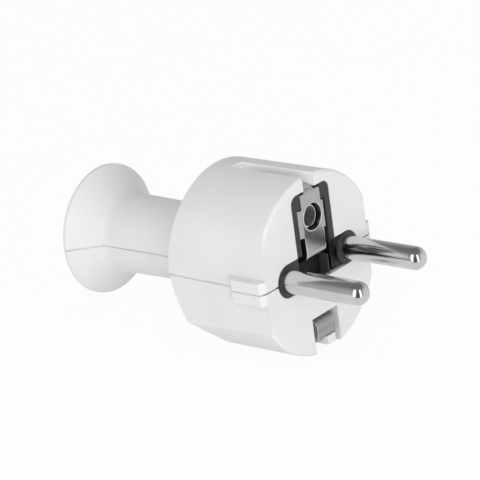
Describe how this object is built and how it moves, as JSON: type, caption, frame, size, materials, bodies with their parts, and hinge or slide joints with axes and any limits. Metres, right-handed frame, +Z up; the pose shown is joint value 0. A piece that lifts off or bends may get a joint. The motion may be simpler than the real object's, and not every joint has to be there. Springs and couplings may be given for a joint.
{
  "type": "two-pin mains plug with side and centre earth contacts",
  "caption": "Straight rewirable mains plug: split white body, trumpet-shaped handle, round pins, side earth clips and an earth pin socket.",
  "frame": {"origin": "centre of the front face, on the parting plane, midway between the two pins", "axes": "+X out along the pins, +Y towards the neutral pin, +Z up towards the earth socket"},
  "size_m": [0.076, 0.036, 0.0377],
  "materials": {
    "shell_white": "satin moulded",
    "insert_black": "fine moulded",
    "pin_nickel": "nickel plated",
    "earth_nickel": "nickel plated",
    "screw_zinc": "zinc plated",
    "insert_brass": "turned",
    "clamp_plastic": "moulded"
  },
  "bodies": {
    "root": {"upper_shell": "shell_white", "lower_shell": "shell_white", "pin_carrier": "insert_black", "line_pin": "pin_nickel", "neutral_pin": "pin_nickel", "line_terminal_screw": "screw_zinc", "neutral_terminal_screw": "screw_zinc", "earth_bracket": "earth_nickel", "earth_sleeve": "earth_nickel", "earth_terminal_nut": "insert_brass", "earth_clamp_plate": "screw_zinc", "earth_spring_washer": "screw_zinc", "earth_terminal_screw": "screw_zinc", "cord_clamp_bar": "clamp_plastic", "case_screw_near": "screw_zinc", "case_screw_far": "screw_zinc", "case_insert_near": "insert_brass", "case_insert_far": "insert_brass", "cord_clamp_screw_near": "screw_zinc", "cord_clamp_screw_far": "screw_zinc"}
  },
  "joints": []
}
